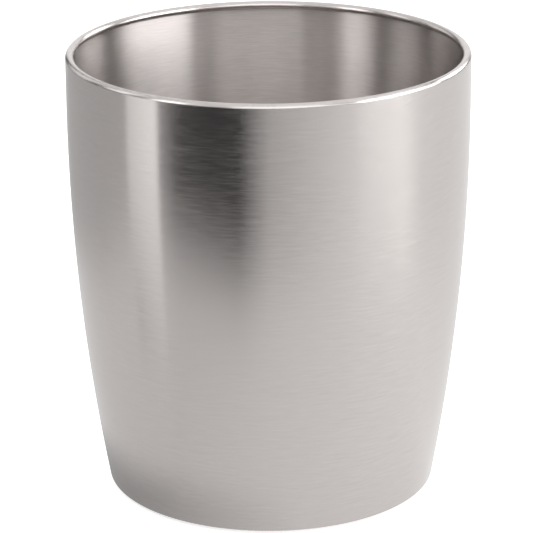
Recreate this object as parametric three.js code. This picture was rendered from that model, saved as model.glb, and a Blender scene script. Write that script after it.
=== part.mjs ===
// Round open-top wastebasket in brushed stainless steel.
// Millimetres, +Z up, origin on the floor at the middle of the base, front toward -Y.
//
// A thin wall curves in from a nearly straight collar to a narrower base. Its top edge is curled
// inward round a wire hoop, and its bottom edge is turned in as a flange that carries a pressed
// sheet bottom. Four rubber pads under that bottom hold the steel clear of the floor.
import * as THREE from 'three';

// Overall sizes.
const RIM_DIAMETER = 227; // across the curled bead
const HEIGHT = 254; // floor to the top of the bead
const BASE_INSET = 19.7; // how far the wall has drawn in at its base, on the radius
const COLLAR_HEIGHT = 31; // straight band from the top of the bead down to where the curve starts

// Sheet and curled bead.
const SHEET = 0.5;
const BEAD_DIAMETER = 4.8;
const CURL_END_ANGLE = 290; // degrees round the bead, from straight out, over the top and inward
const WIRE_CLEARANCE = 0.1; // between the hoop and the curl, all round

// Bottom edge of the wall.
const CORNER_RADIUS = 2; // outside of the bend from wall to flange
const FLANGE_WIDTH = 9; // from the wall's foot to the flange's free edge

// Pressed bottom.
const PAN_CLEARANCE = 0.15; // between its upstand and the wall
const PAN_UPSTAND = 5.5; // height of its upturned edge
const PANEL_RISE = 3; // how far its middle is pressed up
const PANEL_SLOPE = 4; // width of the sloping step round the raised middle
const PANEL_GAP = 7; // from the pads to the foot of that step

// Pads.
const PAD_DIAMETER = 18;
const PAD_THICKNESS = 2;
const PAD_CHAMFER = 0.4;
const PAD_GAP = 3.8; // from the flange's free edge to the pads
const PAD_COUNT = 4;

// Facets.
const ROUND_FACETS = 72;
const WALL_FACETS = 8;
const BEAD_FACETS = 10;
const WIRE_FACETS = 10;
const CORNER_FACETS = 3;
const UPSTAND_FACETS = 2;
const PAD_FACETS = 24;

// Levels and radii that follow from the sizes above.
const panUnderside = PAD_THICKNESS;
const steelBase = panUnderside - SHEET;
const beadRadius = BEAD_DIAMETER / 2;
const beadCentreR = RIM_DIAMETER / 2 - beadRadius;
const beadCentreZ = HEIGHT - beadRadius;
const collarRadius = RIM_DIAMETER / 2;
const curveTop = HEIGHT - COLLAR_HEIGHT;
const flangeEdge = collarRadius - BASE_INSET - FLANGE_WIDTH;
const padCentreR = flangeEdge - PAD_GAP - PAD_DIAMETER / 2;
const panelFoot = padCentreR - PAD_DIAMETER / 2 - PANEL_GAP;
const panelEdge = panelFoot - PANEL_SLOPE;

// The wall below the collar is one arc, upright where it meets the collar.
const curveDrop = curveTop - steelBase;
const wallArcRadius = (curveDrop ** 2 + BASE_INSET ** 2) / (2 * BASE_INSET);
const wallArcCentreR = collarRadius - wallArcRadius;

const degrees = THREE.MathUtils.degToRad;

// Points on an arc in the (radius, height) plane, both ends included.
function arc(centreR, centreZ, radius, from, to, facets) {
  const points = [];
  for (let i = 0; i <= facets; i += 1) {
    const angle = from + ((to - from) * i) / facets;
    const r = centreR + radius * Math.cos(angle);
    const z = centreZ + radius * Math.sin(angle);
    points.push(new THREE.Vector2(r, z));
  }
  return points;
}

// The bend of the given radius that joins a level floor to a wall arc lying the given depth
// inside the wall's outer face: its centre, and the angle at which it meets the arc.
function footBend(depth, radius, floorZ) {
  const centreZ = floorZ + radius;
  const reach = wallArcRadius - depth - radius;
  const drop = curveTop - centreZ;
  const centreR = wallArcCentreR + Math.sqrt(reach ** 2 - drop ** 2);
  return { centreR, centreZ, angle: -Math.asin(drop / reach) };
}

// The wall face lying the given depth inside the outer one, upward between two angles.
function wallArc(depth, from, to, facets) {
  return arc(wallArcCentreR, curveTop, wallArcRadius - depth, from, to, facets);
}

// A closed profile, anticlockwise with radius to the right and height up, turned about Z.
function turned(profile, facets) {
  const closed = [...profile, profile[0].clone()];
  const geometry = new THREE.LatheGeometry(closed, facets);
  geometry.rotateX(Math.PI / 2);
  return geometry;
}

function bodyShellGeometry() {
  const outerBend = footBend(0, CORNER_RADIUS, steelBase);
  const innerBend = footBend(SHEET, CORNER_RADIUS - SHEET, panUnderside);
  const curlEnd = degrees(CURL_END_ANGLE);
  const down = -Math.PI / 2;
  const { centreR: outR, centreZ: outZ, angle: outAngle } = outerBend;
  const { centreR: inR, centreZ: inZ, angle: inAngle } = innerBend;
  return turned(
    [
      new THREE.Vector2(flangeEdge, steelBase),
      ...arc(outR, outZ, CORNER_RADIUS, down, outAngle, CORNER_FACETS),
      ...wallArc(0, outAngle, 0, WALL_FACETS).slice(1),
      ...arc(beadCentreR, beadCentreZ, beadRadius, 0, curlEnd, BEAD_FACETS),
      ...arc(beadCentreR, beadCentreZ, beadRadius - SHEET, curlEnd, 0, BEAD_FACETS),
      ...wallArc(SHEET, 0, inAngle, WALL_FACETS),
      ...arc(inR, inZ, CORNER_RADIUS - SHEET, inAngle, down, CORNER_FACETS).slice(1),
      new THREE.Vector2(flangeEdge, panUnderside),
    ],
    ROUND_FACETS,
  );
}

// A closed hoop that fills the curl.
function rimWireGeometry() {
  const radius = beadRadius - SHEET - WIRE_CLEARANCE;
  const section = arc(beadCentreR, beadCentreZ, radius, 0, 2 * Math.PI, WIRE_FACETS);
  return turned(section.slice(0, -1), ROUND_FACETS);
}

// Sheet bottom: flat where it rests on the flange and carries the pads, pressed up in the
// middle, upturned against the wall.
function bottomPanGeometry() {
  const depth = SHEET + PAN_CLEARANCE;
  const floorTop = panUnderside + SHEET;
  const outerBend = footBend(depth, CORNER_RADIUS, panUnderside);
  const innerBend = footBend(depth + SHEET, CORNER_RADIUS - SHEET, floorTop);
  const down = -Math.PI / 2;
  const { centreR: outR, centreZ: outZ, angle: outAngle } = outerBend;
  const { centreR: inR, centreZ: inZ, angle: inAngle } = innerBend;
  const upstandTop = panUnderside + PAN_UPSTAND;
  const outTop = -Math.asin((curveTop - upstandTop) / (wallArcRadius - depth));
  const inTop = -Math.asin((curveTop - upstandTop) / (wallArcRadius - depth - SHEET));
  const profile = [
    new THREE.Vector2(0, panUnderside + PANEL_RISE),
    new THREE.Vector2(panelEdge, panUnderside + PANEL_RISE),
    new THREE.Vector2(panelFoot, panUnderside),
    ...arc(outR, outZ, CORNER_RADIUS, down, outAngle, CORNER_FACETS),
    ...wallArc(depth, outAngle, outTop, UPSTAND_FACETS).slice(1),
    ...wallArc(depth + SHEET, inTop, inAngle, UPSTAND_FACETS),
    ...arc(inR, inZ, CORNER_RADIUS - SHEET, inAngle, down, CORNER_FACETS).slice(1),
    new THREE.Vector2(panelFoot, floorTop),
    new THREE.Vector2(panelEdge, floorTop + PANEL_RISE),
    new THREE.Vector2(0, floorTop + PANEL_RISE),
  ];
  const geometry = new THREE.LatheGeometry(profile, ROUND_FACETS);
  geometry.rotateX(Math.PI / 2);
  return geometry;
}

// A disc with its lower edge broken, standing on the floor.
function footPadGeometry() {
  const radius = PAD_DIAMETER / 2;
  const profile = [
    new THREE.Vector2(0, 0),
    new THREE.Vector2(radius - PAD_CHAMFER, 0),
    new THREE.Vector2(radius, PAD_CHAMFER),
    new THREE.Vector2(radius, PAD_THICKNESS),
    new THREE.Vector2(0, PAD_THICKNESS),
  ];
  const geometry = new THREE.LatheGeometry(profile, PAD_FACETS);
  geometry.rotateX(Math.PI / 2);
  return geometry;
}

function material(colour, roughness, metalness) {
  return new THREE.MeshStandardMaterial({ color: colour, roughness, metalness });
}

const group = new THREE.Group();
group.name = 'wastebasket';

function add(name, geometry, finish) {
  const mesh = new THREE.Mesh(geometry, finish);
  mesh.name = name;
  group.add(mesh);
  return mesh;
}

add('body_shell', bodyShellGeometry(), material('#b9b6b1', 0.32, 1));
add('rim_wire', rimWireGeometry(), material('#8f8e8c', 0.45, 1));
add('bottom_pan', bottomPanGeometry(), material('#adaaa5', 0.36, 1));

for (let i = 0; i < PAD_COUNT; i += 1) {
  const angle = (2 * Math.PI * (i + 0.5)) / PAD_COUNT;
  const pad = add(`foot_pad_${i + 1}`, footPadGeometry(), material('#1f1f20', 0.85, 0));
  pad.position.set(padCentreR * Math.cos(angle), padCentreR * Math.sin(angle), 0);
}

export default group;
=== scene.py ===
"""Round open-top wastebasket in brushed stainless steel, on a pale studio floor.

Metres, +Z up, origin on the floor under the middle of the base, front toward -Y.
"""

import math

import bmesh
import bpy
from bpy.props import FloatProperty, FloatVectorProperty, IntProperty, PointerProperty
from mathutils import Matrix, Vector, noise


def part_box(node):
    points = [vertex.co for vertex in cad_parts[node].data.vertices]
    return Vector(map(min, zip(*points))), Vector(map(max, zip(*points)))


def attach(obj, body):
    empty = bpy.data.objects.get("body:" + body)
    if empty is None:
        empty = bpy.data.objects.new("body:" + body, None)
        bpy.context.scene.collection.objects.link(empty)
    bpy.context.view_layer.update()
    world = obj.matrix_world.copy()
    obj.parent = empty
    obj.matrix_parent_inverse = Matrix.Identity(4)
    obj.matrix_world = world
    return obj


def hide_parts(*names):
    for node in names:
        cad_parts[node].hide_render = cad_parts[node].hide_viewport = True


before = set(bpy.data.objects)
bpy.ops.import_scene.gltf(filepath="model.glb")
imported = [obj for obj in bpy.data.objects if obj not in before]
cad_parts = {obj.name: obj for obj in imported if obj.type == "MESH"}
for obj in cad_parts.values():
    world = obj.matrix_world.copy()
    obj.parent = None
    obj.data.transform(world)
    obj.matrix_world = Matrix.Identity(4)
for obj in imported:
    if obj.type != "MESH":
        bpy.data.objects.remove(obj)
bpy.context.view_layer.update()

bl_info = {
    "name": "Brushed Steel Wastebasket",
    "version": (1, 0, 0),
    "blender": (4, 5, 0),
    "location": "View3D > Sidebar > Basket",
    "description": "Builds a round open-top wastebasket with a curled rim and its studio",
    "category": "Add Mesh",
}

BODY = "root"
ALONG = "along_sheet"  # distance along the sheet's section, kept on every vertex
PAD_COUNT = 4

# Brushing: the length and width of its streaks in metres, and their detail.
FINE_STREAKS = (0.009, 0.00042, 2.0)
BROAD_STREAKS = (0.02, 0.0013, 3.0)
WORN_PATCHES = (0.09, 0.03, 2.0)
FINE_SHARE = 0.75
BROAD_SHARE = 0.25
NOISE_SPAN = (0.3, 0.7)  # where most of a noise's values lie
STREAK_TONE = 0.04
STREAK_ROUGHNESS = 0.03
WORN_ROUGHNESS = 0.01
STREAK_RELIEF = 0.0000022
STREAK_BUMP = 0.6
RADIAL_TURN = 0.25  # a quarter turn, so that reflections draw out across the brushing

# The rolled bead is duller than the flat sheet. It starts and ends its change this far under
# its top, in bead diameters.
BEAD_DULLING = 0.09
BEAD_FADE = (0.52, 0.38)

# The dressed upright weld.
WELD_BAND = 0.003  # half the band that has its own fine steps
WELD_STEPS = 24
WELD_SPREAD = 0.0006
WELD_PROUD = 0.00002
WELD_SUNK = 0.00008  # on the bead, where it is dressed harder
WELD_LOOK_WIDTH = 0.0011
WELD_TONE = 0.95
WELD_ROUGHNESS = 0.04

# The sheet's slight waviness: its height in metres, and its noise cells in a metre.
WAVE_HEIGHT = 0.00005
WAVES_ROUND = 14
WAVES_UP = 5
WAVE_FADE = 0.02  # how far under the bead it has its full height

# The step round the raised middle of the bottom.
PANEL_SLOPE = 0.004
PANEL_EASE = 0.0018

# The pads' broken edge, and the rings pressed into their underside: inset, then lift.
PAD_CHAMFER = 0.0004
PAD_RINGS = ((0.0012, 0.0), (0.0004, 0.00025), (0.0009, 0.0), (0.0004, -0.00025))

SHELL_LOW, SHELL_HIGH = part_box("body_shell")
PAN_LOW, PAN_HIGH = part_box("bottom_pan")


# ---------------------------------------------------------------- settings


class BasketSizes(bpy.types.PropertyGroup):
    """Sizes of the steel body, its bottom and its pads."""

    rim_diameter: FloatProperty(
        name="Rim diameter",
        description="Across the curled bead",
        default=SHELL_HIGH.x - SHELL_LOW.x,
        unit="LENGTH",
    )
    height: FloatProperty(
        name="Height",
        description="From the floor to the top of the bead",
        default=SHELL_HIGH.z,
        unit="LENGTH",
    )
    foot_level: FloatProperty(
        name="Foot level",
        description="Height of the steel's lowest face over the floor",
        default=SHELL_LOW.z,
        unit="LENGTH",
    )
    base_inset: FloatProperty(
        name="Base inset",
        description="How far the wall has drawn in at its base, on the radius",
        default=0.0197,
        unit="LENGTH",
    )
    collar_height: FloatProperty(
        name="Collar height",
        description="Upright band from the top of the bead to the start of the curve",
        default=0.031,
        unit="LENGTH",
    )
    sheet: FloatProperty(
        name="Sheet",
        description="Thickness of the steel sheet",
        default=0.0005,
        unit="LENGTH",
    )
    bead_diameter: FloatProperty(
        name="Bead diameter",
        description="Across the curled rim",
        default=0.0048,
        unit="LENGTH",
    )
    curl_end: FloatProperty(
        name="Curl end",
        description="Where the curl stops, from straight out over the top and inward",
        default=math.radians(290),
        subtype="ANGLE",
    )
    foot_radius: FloatProperty(
        name="Foot radius",
        description="Outside radius of the bend between wall and flange",
        default=0.002,
        unit="LENGTH",
    )
    flange_width: FloatProperty(
        name="Flange width",
        description="From the wall's foot to the flange's free edge",
        default=0.009,
        unit="LENGTH",
    )
    pan_clearance: FloatProperty(
        name="Bottom clearance",
        description="Between the bottom's upturned edge and the wall",
        default=0.00015,
        unit="LENGTH",
    )
    panel_rise: FloatProperty(
        name="Panel rise",
        description="How far the middle of the bottom is pressed up",
        default=0.003,
        unit="LENGTH",
    )
    panel_radius: FloatProperty(
        name="Panel radius",
        description="Radius of the foot of the step round the raised middle",
        default=0.056,
        unit="LENGTH",
    )
    seam_place: FloatProperty(
        name="Seam place",
        description="Where the wall's upright weld runs, from +X towards +Y",
        default=math.radians(2),
        subtype="ANGLE",
    )
    turns: IntProperty(
        name="Steps round",
        description="Steps in a full turn of the sheet pieces",
        default=240,
        min=48,
        max=360,
    )


class BasketFinish(bpy.types.PropertyGroup):
    """Colours and textures of the basket's pieces."""

    steel_colour: FloatVectorProperty(
        name="Steel",
        description="Colour of the stainless steel",
        subtype="COLOR",
        size=3,
        default=(0.64, 0.60, 0.584),
        min=0,
        max=1,
    )
    outer_roughness: FloatProperty(
        name="Outer roughness",
        description="Mean roughness of the finely brushed outside",
        default=0.20,
        min=0,
        max=1,
    )
    outer_stretch: FloatProperty(
        name="Outer stretch",
        description="How strongly the outside draws reflections out across the brushing",
        default=0.80,
        min=0,
        max=1,
    )
    inner_roughness: FloatProperty(
        name="Inner roughness",
        description="Mean roughness of the more coarsely brushed inside",
        default=0.32,
        min=0,
        max=1,
    )
    inner_stretch: FloatProperty(
        name="Inner stretch",
        description="How strongly the inside draws reflections out across the brushing",
        default=1.0,
        min=0,
        max=1,
    )
    wire_colour: FloatVectorProperty(
        name="Wire",
        description="Colour of the drawn wire in the rim",
        subtype="COLOR",
        size=3,
        default=(0.42, 0.41, 0.40),
        min=0,
        max=1,
    )
    rubber_colour: FloatVectorProperty(
        name="Rubber",
        description="Colour of the pads",
        subtype="COLOR",
        size=3,
        default=(0.018, 0.018, 0.019),
        min=0,
        max=1,
    )
    floor_colour: FloatVectorProperty(
        name="Floor",
        description="Colour of the studio floor",
        subtype="COLOR",
        size=3,
        default=(0.90, 0.90, 0.90),
        min=0,
        max=1,
    )


def sizes():
    return bpy.context.scene.basket_sizes


def finishes():
    return bpy.context.scene.basket_finish


class Wall:
    """Radii and levels that follow from the sizes."""

    def __init__(self, s):
        self.bead_radius = s.bead_diameter / 2
        self.bead_r = s.rim_diameter / 2 - self.bead_radius
        self.bead_z = s.height - self.bead_radius
        self.collar_r = s.rim_diameter / 2
        self.curve_top = s.height - s.collar_height
        drop = self.curve_top - s.foot_level
        self.arc = (drop**2 + s.base_inset**2) / (2 * s.base_inset)
        self.arc_r = self.collar_r - self.arc
        self.flange_edge = self.collar_r - s.base_inset - s.flange_width

    def foot_bend(self, depth, radius, floor_z):
        """Centre of the bend that joins a level floor to the wall face lying the
        given depth inside the outer one, and the angle at which it meets it."""
        z = floor_z + radius
        reach = self.arc - depth - radius
        drop = self.curve_top - z
        r = self.arc_r + math.sqrt(reach**2 - drop**2)
        return r, z, -math.asin(drop / reach)


# ---------------------------------------------------------------- modelling helpers


def new_object(name, bm):
    """Turns a bmesh into an object at the origin, shaded smooth."""
    mesh = bpy.data.meshes.new(name)
    for face in bm.faces:
        face.smooth = True
    bm.to_mesh(mesh)
    bm.free()
    piece = bpy.data.objects.new(name, mesh)
    bpy.context.scene.collection.objects.link(piece)
    return piece


def line_to(bm, vertex, r, z, steps=1):
    """Draws a straight run of the section from a vertex, and returns its end."""
    start = vertex.co.copy()
    step = (Vector((r, 0, z)) - start) / steps
    for _ in range(steps):
        vertex = bmesh.ops.extrude_vert_indiv(bm, verts=[vertex])["verts"][0]
        bmesh.ops.translate(bm, vec=step, verts=[vertex])
    return vertex


def arc_to(bm, vertex, centre, turn, steps):
    """Draws an arc of the section from a vertex round a centre (r, z), anticlockwise
    for a positive turn, and returns its end."""
    spun = bmesh.ops.spin(
        bm,
        geom=[vertex],
        cent=(centre[0], 0, centre[1]),
        axis=(0, -1, 0),
        angle=turn,
        steps=steps,
    )
    return [g for g in spun["geom_last"] if isinstance(g, bmesh.types.BMVert)][0]


def measure_section(bm, start):
    """Stores on each vertex of an open section its distance along the sheet from the
    end that lies at the start point."""
    layer = bm.verts.layers.float.new(ALONG)
    ends = [v for v in bm.verts if len(v.link_edges) == 1]
    vertex = min(ends, key=lambda v: (v.co - start).length)
    edge, total = None, 0.0
    while vertex is not None:
        vertex[layer] = total
        onward = [e for e in vertex.link_edges if e is not edge]
        if not onward:
            return
        edge = onward[0]
        total += edge.calc_length()
        vertex = edge.other_vert(vertex)


def spin_section(bm, steps, seam=None):
    """Turns a section in the XZ plane about Z. A seam is (place, half angle, steps):
    the section starts at the seam's near side, and the seam has its own finer steps."""
    section = bm.verts[:] + bm.edges[:]
    if seam is None:
        bmesh.ops.spin(
            bm,
            geom=section,
            cent=(0, 0, 0),
            axis=(0, 0, 1),
            angle=2 * math.pi,
            steps=steps,
            use_merge=True,
        )
        return
    place, half, fine = seam
    bmesh.ops.rotate(
        bm,
        verts=bm.verts[:],
        cent=(0, 0, 0),
        matrix=Matrix.Rotation(place - half, 3, "Z"),
    )
    narrow = bmesh.ops.spin(
        bm,
        geom=section,
        cent=(0, 0, 0),
        axis=(0, 0, 1),
        angle=2 * half,
        steps=fine,
    )
    bmesh.ops.spin(
        bm,
        geom=narrow["geom_last"],
        cent=(0, 0, 0),
        axis=(0, 0, 1),
        angle=2 * (math.pi - half),
        steps=steps,
    )


def close_and_face_out(bm, probe):
    """Merges doubles and makes the normals agree, so that the face nearest a probe
    point faces away from the axis or upward there."""
    bmesh.ops.remove_doubles(bm, verts=bm.verts[:], dist=1e-6)
    bmesh.ops.recalc_face_normals(bm, faces=bm.faces[:])
    nearest = min(bm.faces, key=lambda f: (f.calc_center_median() - probe[0]).length)
    if nearest.normal.dot(probe[1]) < 0:
        bmesh.ops.reverse_faces(bm, faces=bm.faces[:])


def stand_for(piece, slot, *nodes):
    """Hangs a piece on the basket in place of its CAD nodes."""
    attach(piece, BODY)
    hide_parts(*nodes)


class Finish:
    """A material under construction: one Principled shader and its node helpers."""

    def __init__(self, name, colour, roughness, metallic):
        self.material = bpy.data.materials.new(name)
        self.material.use_nodes = True
        self.tree = self.material.node_tree
        self.tree.nodes.clear()
        self.shader = self.add("ShaderNodeBsdfPrincipled")
        output = self.add("ShaderNodeOutputMaterial")
        self.link(self.shader.outputs["BSDF"], output.inputs["Surface"])
        self.set("Base Color", (*colour, 1))
        self.set("Roughness", roughness)
        self.set("Metallic", metallic)

    def add(self, kind, **settings):
        node = self.tree.nodes.new(kind)
        for key, value in settings.items():
            setattr(node, key, value)
        return node

    def link(self, source, target):
        self.tree.links.new(source, target)

    def set(self, socket, value):
        self.shader.inputs[socket].default_value = value

    def math(self, operation, first, second=None):
        node = self.add("ShaderNodeMath", operation=operation)
        for socket, value in zip(node.inputs, (first, second)):
            if value is None:
                continue
            if isinstance(value, (int, float)):
                socket.default_value = value
            else:
                self.link(value, socket)
        return node.outputs[0]

    def object_axes(self):
        place = self.add("ShaderNodeTexCoord")
        split = self.add("ShaderNodeSeparateXYZ")
        self.link(place.outputs["Object"], split.inputs[0])
        return split.outputs

    def along_sheet(self):
        return self.add("ShaderNodeAttribute", attribute_name=ALONG).outputs["Fac"]

    def noise(self, vector, scale, detail, roughness=0.5):
        node = self.add("ShaderNodeTexNoise")
        node.inputs["Scale"].default_value = scale
        node.inputs["Detail"].default_value = detail
        node.inputs["Roughness"].default_value = roughness
        self.link(vector, node.inputs["Vector"])
        return node.outputs["Fac"]

    def vector(self, x, y, z):
        node = self.add("ShaderNodeCombineXYZ")
        for socket, value in zip(node.inputs, (x, y, z)):
            self.link(value, socket)
        return node.outputs[0]

    def spread(self, value, low, high, from_low=0.0, from_high=1.0, smooth=False):
        """Maps a value between two limits on to two others."""
        node = self.add("ShaderNodeMapRange")
        if smooth:
            node.interpolation_type = "SMOOTHSTEP"
        self.link(value, node.inputs["Value"])
        node.inputs["From Min"].default_value = from_low
        node.inputs["From Max"].default_value = from_high
        node.inputs["To Min"].default_value = low
        node.inputs["To Max"].default_value = high
        return node.outputs["Result"]

    def shade(self, colour, factor):
        """The colour times a varying factor."""
        node = self.add("ShaderNodeVectorMath", operation="SCALE")
        node.inputs[0].default_value = colour
        self.link(factor, node.inputs["Scale"])
        return node.outputs["Vector"]

    def bump(self, height, distance, strength=1.0):
        node = self.add("ShaderNodeBump")
        node.inputs["Strength"].default_value = strength
        node.inputs["Distance"].default_value = distance
        self.link(height, node.inputs["Height"])
        self.link(node.outputs["Normal"], self.shader.inputs["Normal"])


def brush_lines(finish, length, width, detail):
    """Streaks that run round the axis: their length and width in metres."""
    x, y, _ = finish.object_axes()
    vector = finish.vector(
        finish.math("MULTIPLY", x, 1 / length),
        finish.math("MULTIPLY", y, 1 / length),
        finish.math("MULTIPLY", finish.along_sheet(), 1 / width),
    )
    return finish.noise(vector, 1.0, detail)


def near_seam(finish, place, width):
    """1 within about a width of the upright weld, falling to 0 away from it."""
    x, y, _ = finish.object_axes()

    def along(direction):
        part_x = finish.math("MULTIPLY", x, direction[0])
        return finish.math("ADD", part_x, finish.math("MULTIPLY", y, direction[1]))

    across = along((-math.sin(place), math.cos(place)))
    toward = along((math.cos(place), math.sin(place)))
    close = finish.spread(finish.math("ABSOLUTE", across), 1.0, 0.0, width / 2, width, True)
    return finish.math("MULTIPLY", close, finish.math("GREATER_THAN", toward, 0.0))


def on_bead(finish):
    """0 on the wall, rising to 1 on the rolled bead."""
    _, _, z = finish.object_axes()
    s = sizes()
    start, end = (s.height - part * s.bead_diameter for part in BEAD_FADE)
    return finish.spread(z, 0.0, 1.0, start, end)


def brushed_steel(name, roughness, stretch, grain, seam=None):
    """Stainless steel brushed round the axis, so that its reflections are drawn out
    up and down and stay crisp sideways. The grain is how deep the brushing bites."""
    look = finishes()
    steel = Finish(name, look.steel_colour, roughness, 1.0)
    fine = steel.math("MULTIPLY", brush_lines(steel, *FINE_STREAKS), FINE_SHARE)
    broad = steel.math("MULTIPLY", brush_lines(steel, *BROAD_STREAKS), BROAD_SHARE)
    worn = brush_lines(steel, *WORN_PATCHES)
    streaks = steel.math("ADD", fine, broad)
    swing = STREAK_TONE * grain
    tone = steel.spread(streaks, 1 - swing, 1 + swing, *NOISE_SPAN)
    dull, bright = roughness + STREAK_ROUGHNESS, roughness - STREAK_ROUGHNESS
    rough = steel.spread(streaks, bright, dull, *NOISE_SPAN)
    wear = steel.spread(worn, -WORN_ROUGHNESS, WORN_ROUGHNESS, *NOISE_SPAN)
    rough = steel.math("ADD", rough, wear)
    bead = on_bead(steel)
    rough = steel.math("ADD", rough, steel.math("MULTIPLY", bead, BEAD_DULLING))
    relief = steel.math("MULTIPLY", streaks, steel.math("SUBTRACT", 1.0, bead))
    if seam is not None:
        weld = near_seam(steel, seam, WELD_LOOK_WIDTH)
        tone = steel.math("MULTIPLY", tone, steel.spread(weld, 1.0, WELD_TONE))
        rough = steel.math("ADD", rough, steel.math("MULTIPLY", weld, WELD_ROUGHNESS))
    steel.link(steel.shade(look.steel_colour, tone), steel.shader.inputs["Base Color"])
    steel.link(rough, steel.shader.inputs["Roughness"])
    steel.bump(relief, STREAK_RELIEF * grain, STREAK_BUMP)
    steel.set("Anisotropic", stretch)
    steel.set("Anisotropic Rotation", RADIAL_TURN)
    tangent = steel.add("ShaderNodeTangent", direction_type="RADIAL", axis="Z")
    steel.link(tangent.outputs[0], steel.shader.inputs["Tangent"])
    return steel.material


def drawn_wire(name):
    """Dull drawn wire, with fine lines along it."""
    look = finishes()
    wire = Finish(name, look.wire_colour, 0.45, 1.0)
    x, y, z = wire.object_axes()
    lines = wire.noise(
        wire.vector(
            wire.math("MULTIPLY", x, 60.0),
            wire.math("MULTIPLY", y, 60.0),
            wire.math("MULTIPLY", z, 6000.0),
        ),
        1.0,
        2.0,
    )
    wire.link(
        wire.shade(look.wire_colour, wire.spread(lines, 0.85, 1.1)),
        wire.shader.inputs["Base Color"],
    )
    wire.link(wire.spread(lines, 0.38, 0.52), wire.shader.inputs["Roughness"])
    wire.bump(lines, 0.00001, 0.5)
    return wire.material


def moulded_rubber(name):
    """Matt black rubber with a fine moulded grain and a little dust."""
    look = finishes()
    rubber = Finish(name, look.rubber_colour, 0.8, 0.0)
    place = rubber.add("ShaderNodeTexCoord").outputs["Object"]
    grain = rubber.noise(place, 3500.0, 2.0)
    dust = rubber.noise(place, 260.0, 4.0, 0.6)
    rubber.link(
        rubber.shade(look.rubber_colour, rubber.spread(dust, 0.8, 1.9, 0.35, 0.75)),
        rubber.shader.inputs["Base Color"],
    )
    rubber.link(rubber.spread(dust, 0.72, 0.9), rubber.shader.inputs["Roughness"])
    rubber.bump(grain, 0.00004, 0.6)
    return rubber.material


# ---------------------------------------------------------------- pieces


class BASKET_OT_make_shell(bpy.types.Operator):
    """Makes the steel wall with its curled rim and turned-in foot"""

    bl_idname = "basket.make_shell"
    bl_label = "Make Shell"

    def execute(self, context):
        s = sizes()
        wall = Wall(s)
        bm = bmesh.new()
        start = Vector((wall.flange_edge, 0, s.foot_level))
        foot_r, foot_z, foot_angle = wall.foot_bend(0, s.foot_radius, s.foot_level)
        v = line_to(bm, bm.verts.new(start), foot_r, s.foot_level, steps=3)
        v = arc_to(bm, v, (foot_r, foot_z), foot_angle + math.pi / 2, 6)
        v = arc_to(bm, v, (wall.arc_r, wall.curve_top), -foot_angle, 40)
        v = line_to(bm, v, wall.collar_r, wall.bead_z - 0.0004, steps=6)
        v = line_to(bm, v, wall.collar_r, wall.bead_z)
        arc_to(bm, v, (wall.bead_r, wall.bead_z), s.curl_end, 30)
        measure_section(bm, start)
        seam_half = WELD_BAND / wall.collar_r
        spin_section(bm, s.turns, (s.seam_place, seam_half, WELD_STEPS))
        outside = Vector((0, -wall.collar_r, wall.curve_top))
        close_and_face_out(bm, (outside, Vector((0, -1, 0))))
        inside = bmesh.ops.solidify(bm, geom=bm.faces[:], thickness=s.sheet)["geom"]
        for face in inside:
            if isinstance(face, bmesh.types.BMFace):
                face.material_index = 1
        self.handle(bm, wall, s)
        shell = new_object("steel_shell", bm)
        look = finishes()
        for side, roughness, stretch, grain in (
            ("outside", look.outer_roughness, look.outer_stretch, 1.0),
            ("inside", look.inner_roughness, look.inner_stretch, 2.0),
        ):
            steel = brushed_steel(f"brushed_steel_{side}", roughness, stretch, grain, s.seam_place)
            shell.data.materials.append(steel)
        stand_for(shell, "brushed_shell", "body_shell")
        return {"FINISHED"}

    def handle(self, bm, wall, s):
        """Gives the sheet its slight waviness and the dressed weld across it."""
        bm.normal_update()
        moves = []
        for v in bm.verts:
            r = v.co.xy.length
            away = math.atan2(v.co.y, v.co.x) - s.seam_place
            across = r * (away - 2 * math.pi * round(away / (2 * math.pi)))
            weld = math.exp(-((across / WELD_SPREAD) ** 2))
            curled = v.co.z > s.height - s.bead_diameter
            lift = -WELD_SUNK * weld if curled else WELD_PROUD * weld
            moves.append(v.normal * lift)
            if not curled and v.co.z > s.foot_level + 2 * s.foot_radius:
                place = (v.co.x * WAVES_ROUND, v.co.y * WAVES_ROUND, v.co.z * WAVES_UP)
                wave = noise.noise(Vector(place))
                edge = min(1.0, (s.height - s.bead_diameter - v.co.z) / WAVE_FADE)
                outward = Vector((v.co.x, v.co.y, 0)) / r
                moves[-1] += outward * (WAVE_HEIGHT * wave * edge)
        for v, move in zip(bm.verts, moves):
            v.co += move


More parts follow.
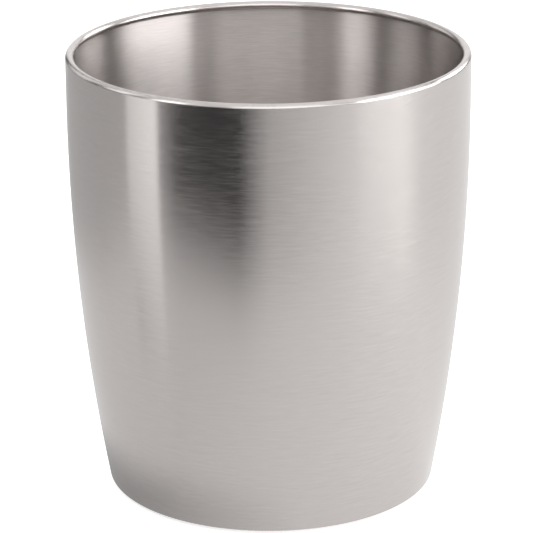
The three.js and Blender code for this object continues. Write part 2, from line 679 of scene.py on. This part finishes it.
class BASKET_OT_make_bottom(bpy.types.Operator):
    """Makes the pressed sheet bottom with its raised middle and upturned edge"""

    bl_idname = "basket.make_bottom"
    bl_label = "Make Bottom"

    def execute(self, context):
        s = sizes()
        wall = Wall(s)
        low, high = PAN_LOW.z, PAN_HIGH.z
        floor_top = low + s.sheet
        depth = s.sheet + s.pan_clearance + s.sheet
        bend_r, bend_z, bend_angle = wall.foot_bend(depth, s.foot_radius - s.sheet, floor_top)
        top_angle = -math.asin((wall.curve_top - high) / (wall.arc - depth))
        bm = bmesh.new()
        start = Vector((0, 0, floor_top + s.panel_rise))
        edge = line_to(bm, bm.verts.new(start), s.panel_radius - PANEL_SLOPE, start.z, steps=10)
        foot = line_to(bm, edge, s.panel_radius, floor_top)
        v = line_to(bm, foot, bend_r, floor_top, steps=8)
        v = arc_to(bm, v, (bend_r, bend_z), bend_angle + math.pi / 2, 6)
        arc_to(bm, v, (wall.arc_r, wall.curve_top), top_angle - bend_angle, 4)
        bmesh.ops.bevel(
            bm,
            geom=[edge, foot],
            offset=PANEL_EASE,
            offset_type="OFFSET",
            segments=6,
            profile=0.5,
            affect="VERTICES",
            material=-1,
        )
        measure_section(bm, start)
        spin_section(bm, s.turns)
        close_and_face_out(bm, (Vector((0.01, 0, floor_top + s.panel_rise)), Vector((0, 0, 1))))
        bmesh.ops.solidify(bm, geom=bm.faces[:], thickness=s.sheet)
        bottom = new_object("pressed_bottom", bm)
        look = finishes()
        steel = brushed_steel("brushed_steel_bottom", look.inner_roughness, look.inner_stretch, 1.5)
        bottom.data.materials.append(steel)
        stand_for(bottom, "pressed_bottom", "bottom_pan")
        return {"FINISHED"}


class BASKET_OT_make_pads(bpy.types.Operator):
    """Makes the four stick-on pads under the bottom"""

    bl_idname = "basket.make_pads"
    bl_label = "Make Pads"

    def execute(self, context):
        rubber = moulded_rubber("black_rubber")
        for i in range(1, PAD_COUNT + 1):
            low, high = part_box(f"foot_pad_{i}")
            centre = (low + high) / 2
            radius = (high.x - low.x) / 2
            bm = bmesh.new()
            made = bmesh.ops.create_cone(
                bm,
                cap_ends=True,
                segments=72,
                radius1=radius,
                radius2=radius,
                depth=high.z - low.z,
            )
            bmesh.ops.translate(bm, vec=centre, verts=made["verts"])
            under = min(bm.faces, key=lambda f: f.calc_center_median().z)
            bmesh.ops.bevel(
                bm,
                geom=under.edges[:],
                offset=PAD_CHAMFER,
                offset_type="OFFSET",
                segments=4,
                profile=0.5,
                affect="EDGES",
                material=-1,
            )
            under = min(bm.faces, key=lambda f: (f.calc_center_median().z, -f.calc_area()))
            for width, lift in PAD_RINGS:
                bmesh.ops.inset_region(bm, faces=[under], thickness=width, use_even_offset=True)
                bmesh.ops.translate(bm, vec=(0, 0, lift), verts=under.verts[:])
            pad = new_object(f"non_slip_pad_{i}", bm)
            pad.data.shade_flat()
            for polygon in pad.data.polygons:
                polygon.use_smooth = len(polygon.vertices) == 4
            pad.data.materials.append(rubber)
            stand_for(pad, "pad_rubber", f"foot_pad_{i}")
        return {"FINISHED"}


class BASKET_OT_finish_wire(bpy.types.Operator):
    """Gives the hoop inside the curl its drawn-wire finish"""

    bl_idname = "basket.finish_wire"
    bl_label = "Finish Rim Wire"

    def execute(self, context):
        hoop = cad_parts["rim_wire"]
        hoop.data.materials.clear()
        hoop.data.materials.append(drawn_wire("drawn_wire"))
        return {"FINISHED"}


# ---------------------------------------------------------------- studio

STUDIO_RADIUS = 4.0
STUDIO_STEPS = 96
FLOOR_LEVEL = -0.0002  # under the pads, so that it doesn't cut into them
SHEEN_LEVEL = -0.0001
FLOOR_GLOW = 0.55
WORLD_STRENGTH = 1.15

# The camera: its lens and sensor in millimetres, its downward pitch and its roll in degrees,
# its distance, and the point that it looks at.
CAMERA_LENS = 197.8
CAMERA_SENSOR = 36
CAMERA_PITCH = 19.15
CAMERA_ROLL = -0.41
CAMERA_DISTANCE = 1.6786
CAMERA_TARGET = (-0.00185, 0, 0.1254)
CAMERA_REACH = 20

# The paper's edge painted into the mirrored floor: how far out the near floor gives way to the far
# floor. The reach is scaled by these factors between these bearings in radians, so that the edge
# lies farther out at the front left and is back at about the same distance behind it.
PAINTED_PAPER_EDGE = (0.33, 0.58)
EDGE_FRONT_LEFT = (0.78, 1.0, -1.05, -0.30)
EDGE_REAR_LEFT = (1.35, 1.0, -1.8, -1.3)

# The basket's own shadow, painted into the mirrored floor's glow: how far out it fades, and its
# strength at two places along X.
PAINTED_SHADOW_REACH = (0.095, 0.15)
PAINTED_SHADOW_STRENGTH = (0.48, 0.02, -0.09, 0.02)

# The floor as the steel mirrors it, a painted reflection: brightness at bearings in degrees from
# the front toward +X. Close in it is one sheet of pale paper, painted brightest on the soft
# box's side.
NEAR_FLOOR = (
    (-180, 0.8),
    (-45, 0.7),
    (90, 1.0),
    (180, 0.8),
)
# Farther out it is painted dim on the left and dark past the paper's edge at the front left, rises
# to the soft box's side, and is even round the back.
FAR_FLOOR = (
    (-180, 0.9),
    (-150, 0.5),
    (-65, 0.5),
    (-50, 0.0),
    (-15, 0.0),
    (0, 0.5),
    (75, 1.2),
    (90, 0.9),
    (180, 0.9),
)


class Glow(Finish):
    """The material of a glowing card."""

    def __init__(self, name):
        super().__init__(name, (0, 0, 0), 1.0, 0.0)
        self.set("Specular IOR Level", 0.0)
        self.set("Emission Color", (1, 1, 1, 1))

    def shine(self, strength):
        self.link(strength, self.shader.inputs["Emission Strength"])

    def by_bearing(self, round_way, stops):
        """A brightness that changes with the way round from the back."""
        ramp = self.add("ShaderNodeValToRGB")
        self.link(round_way, ramp.inputs["Fac"])
        elements = ramp.color_ramp.elements
        while len(elements) > 1:
            elements.remove(elements[-1])
        for index, (bearing, tone) in enumerate(stops):
            place = (bearing + 180) / 360
            stop = elements[0] if index == 0 else elements.new(place)
            stop.position = place
            stop.color = (tone, tone, tone, 1)
        return ramp.outputs["Color"]

    def blend(self, factor, first, second):
        """The first value where the factor is 0, the second where it is 1."""
        kept = self.math("MULTIPLY", first, self.math("SUBTRACT", 1.0, factor))
        return self.math("ADD", kept, self.math("MULTIPLY", second, factor))


def level_disc(name, radius, level, steps):
    """A level disc centred on the basket's axis."""
    bm = bmesh.new()
    bmesh.ops.create_circle(bm, cap_ends=True, segments=steps, radius=radius)
    bmesh.ops.translate(bm, vec=(0, 0, level), verts=bm.verts[:])
    return new_object(name, bm)


def only_in_reflections(card):
    """Hides a studio card from everything but mirrored rays."""
    card.visible_camera = False
    card.visible_diffuse = False
    card.visible_shadow = False
    card.visible_transmission = False
    card.visible_volume_scatter = False


class BASKET_OT_set_stage(bpy.types.Operator):
    """Sets the floor, the soft lights and the camera"""

    bl_idname = "basket.set_stage"
    bl_label = "Set Stage"

    def execute(self, context):
        self.lay_floor()
        self.lay_sheen()
        self.hang_cards()
        self.hang_ceiling("ceiling_card", 2.2, 2.4, 0.95)
        self.place_camera(context.scene)
        self.light(context.scene)
        return {"FINISHED"}

    def lay_floor(self):
        """A pale floor, clear from below so that the underside can be looked at."""
        floor = level_disc("studio_floor", STUDIO_RADIUS, FLOOR_LEVEL, STUDIO_STEPS)
        card = Finish("pale_floor", finishes().floor_colour, 0.9, 0.0)
        card.set("Emission Color", (1, 1, 1, 1))
        card.set("Emission Strength", FLOOR_GLOW)
        below = card.add("ShaderNodeNewGeometry").outputs["Backfacing"]
        card.link(card.math("SUBTRACT", 1.0, below), card.shader.inputs["Alpha"])
        floor.data.materials.append(card.material)
        floor.visible_glossy = False

    def lay_sheen(self):
        """The floor as the steel mirrors it, painted into a glow that only reflections see: bright
        close to the basket, darker where the paper ends out to the front left, with the basket's
        shadow painted in close to its base."""
        sheen = level_disc("mirrored_floor", STUDIO_RADIUS, SHEEN_LEVEL, STUDIO_STEPS)
        glow = Glow("mirrored_floor")
        x, y, _ = glow.object_axes()
        bearing = glow.math("ARCTAN2", x, glow.math("MULTIPLY", y, -1.0))
        round_way = glow.spread(bearing, 0.0, 1.0, -math.pi, math.pi)
        squares = glow.math("ADD", glow.math("POWER", x, 2.0), glow.math("POWER", y, 2.0))
        reach = glow.math("SQRT", squares)
        slant = glow.spread(bearing, *EDGE_FRONT_LEFT)
        slant = glow.math("MULTIPLY", slant, glow.spread(bearing, *EDGE_REAR_LEFT))
        edge = glow.math("MULTIPLY", reach, slant)
        outer = glow.spread(edge, 0.0, 1.0, *PAINTED_PAPER_EDGE, smooth=True)
        # Painted reflection: the near and far tones stand in for how the studio light falls on the
        # floor.
        floor = glow.blend(
            outer,
            glow.by_bearing(round_way, NEAR_FLOOR),
            glow.by_bearing(round_way, FAR_FLOOR),
        )
        # Painted shadow: the basket's shadow darkens the glow close to its base, most on its -X
        # side.
        close = glow.spread(reach, 1.0, 0.0, *PAINTED_SHADOW_REACH, smooth=True)
        painted_shade = glow.spread(x, *PAINTED_SHADOW_STRENGTH)
        painted_shadow = glow.math("SUBTRACT", 1.0, glow.math("MULTIPLY", close, painted_shade))
        glow.shine(glow.math("MULTIPLY", floor, painted_shadow))
        sheen.data.materials.append(glow.material)
        only_in_reflections(sheen)

    def hang_cards(self):
        """Bearings are in degrees from the front toward +X; then the distance from the
        axis, the width, the low and high edges and the strength."""
        hang = self.hang_card
        hang("right_soft_box", 79, 0.80, 0.98, 0.31, 0.64, 8.2, feathers=(0.04, 0.38))
        hang(
            "left_strip", -62, 0.29, 0.096, 0.001, 0.25, 1.32,
            feathers=(0.001, 0.001), foot=0.58, left=0.72,
        )
        hang("left_soft_box", -59, 1.50, 0.72, 0.45, 1.20, 4.1, feathers=(0.38, 0.06))
        hang("left_front_fill", -38, 1.60, 0.90, 0.45, 1.60, 1.0)
        hang("front_top_light", 2, 1.60, 2.20, 1.05, 1.90, 1.9)
        hang("front_fill", 10, 1.60, 2.30, 0.45, 1.05, 2.1, feathers=(0.30, 0.04))
        hang("right_rear_fill", 132, 1.50, 1.05, 0.45, 1.20, 3.8, feathers=(0.20, 0.25))
        hang("left_fill", -93, 1.50, 0.86, 0.50, 1.60, 1.9, feathers=(0.34, 0.30))
        hang("left_rear_fill", -130, 1.50, 1.10, 0.30, 1.60, 1.0)
        hang("rear_fill", 178, 1.50, 1.60, 0.002, 2.10, 1.0)

    def hang_card(
        self, name, bearing, distance, width, low, high, strength,
        feathers=(0.25, 0.25), foot=1.0, left=1.0,
    ):
        """An upright glowing card that faces the basket. The feathers soften its left
        and right sides; foot and left are the parts of the full strength it has there."""
        bm = bmesh.new()
        bmesh.ops.create_grid(bm, x_segments=1, y_segments=1, size=0.5)
        bmesh.ops.scale(bm, vec=(width, high - low, 1), verts=bm.verts[:])
        card = new_object(name, bm)
        angle = math.radians(bearing)
        place = Vector((math.sin(angle), -math.cos(angle), 0)) * distance
        card.location = place + Vector((0, 0, (low + high) / 2))
        card.rotation_euler = (math.pi / 2, 0, angle)
        glow = Glow(name)
        across, up, _ = glow.object_axes()
        half = width / 2
        level = glow.spread(across, 0.0, strength, -half, feathers[0] - half, True)
        fade = glow.spread(across, 1.0, 0.0, half - feathers[1], half, True)
        rise = glow.spread(up, foot, 1.0, (low - high) / 2, (high - low) / 2)
        lean = glow.spread(across, left, 1.0, -half, half)
        level = glow.math("MULTIPLY", level, fade)
        glow.shine(glow.math("MULTIPLY", level, glow.math("MULTIPLY", rise, lean)))
        card.data.materials.append(glow.material)
        only_in_reflections(card)

    def hang_ceiling(self, name, level, radius, strength):
        """A level glowing disc overhead, a little brighter toward +X."""
        disc = level_disc(name, radius, level, STUDIO_STEPS // 2)
        glow = Glow(name)
        x, _, _ = glow.object_axes()
        glow.shine(glow.spread(x, 0.8 * strength, 1.2 * strength, -radius, radius))
        disc.data.materials.append(glow.material)
        only_in_reflections(disc)

    def place_camera(self, scene):
        camera = bpy.data.objects.new("camera", bpy.data.cameras.new("camera"))
        scene.collection.objects.link(camera)
        camera.data.lens = CAMERA_LENS
        camera.data.sensor_width = CAMERA_SENSOR
        camera.data.clip_end = CAMERA_REACH
        pitch = math.radians(CAMERA_PITCH)
        back = Vector((0, -math.cos(pitch), math.sin(pitch)))
        camera.location = Vector(CAMERA_TARGET) + back * CAMERA_DISTANCE
        aim = (-back).to_track_quat("-Z", "Y").to_matrix()
        roll = Matrix.Rotation(math.radians(CAMERA_ROLL), 3, "Z")
        camera.rotation_euler = (aim @ roll).to_euler()
        scene.camera = camera

    def light(self, scene):
        """Even white light for everything matt. The steel mirrors the cards instead."""
        world = bpy.data.worlds.new("studio")
        scene.world = world
        world.use_nodes = True
        background = world.node_tree.nodes["Background"].inputs
        background["Color"].default_value = (1, 1, 1, 1)
        background["Strength"].default_value = WORLD_STRENGTH
        world.cycles_visibility.glossy = False
        scene.view_settings.view_transform = "Standard"
        scene.view_settings.look = "None"


class BASKET_PT_panel(bpy.types.Panel):
    """Sizes, finishes and steps of the basket"""

    bl_idname = "BASKET_PT_panel"
    bl_label = "Wastebasket"
    bl_space_type = "VIEW_3D"
    bl_region_type = "UI"
    bl_category = "Basket"

    def draw(self, context):
        layout = self.layout
        for group in (sizes(), finishes()):
            box = layout.box()
            for key in group.bl_rna.properties.keys():
                if key not in ("rna_type", "name"):
                    box.prop(group, key)
        for operator in STEPS:
            layout.operator(operator.bl_idname)


STEPS = (
    BASKET_OT_make_shell,
    BASKET_OT_make_bottom,
    BASKET_OT_make_pads,
    BASKET_OT_finish_wire,
    BASKET_OT_set_stage,
)
CLASSES = (BasketSizes, BasketFinish, *STEPS, BASKET_PT_panel)


def register():
    for cls in CLASSES:
        bpy.utils.register_class(cls)
    bpy.types.Scene.basket_sizes = PointerProperty(type=BasketSizes)
    bpy.types.Scene.basket_finish = PointerProperty(type=BasketFinish)


def unregister():
    del bpy.types.Scene.basket_finish
    del bpy.types.Scene.basket_sizes
    for cls in reversed(CLASSES):
        bpy.utils.unregister_class(cls)


def main():
    register()
    bpy.ops.basket.make_shell()
    bpy.ops.basket.make_bottom()
    bpy.ops.basket.make_pads()
    bpy.ops.basket.finish_wire()
    bpy.ops.basket.set_stage()


if __name__ == "__main__":
    main()
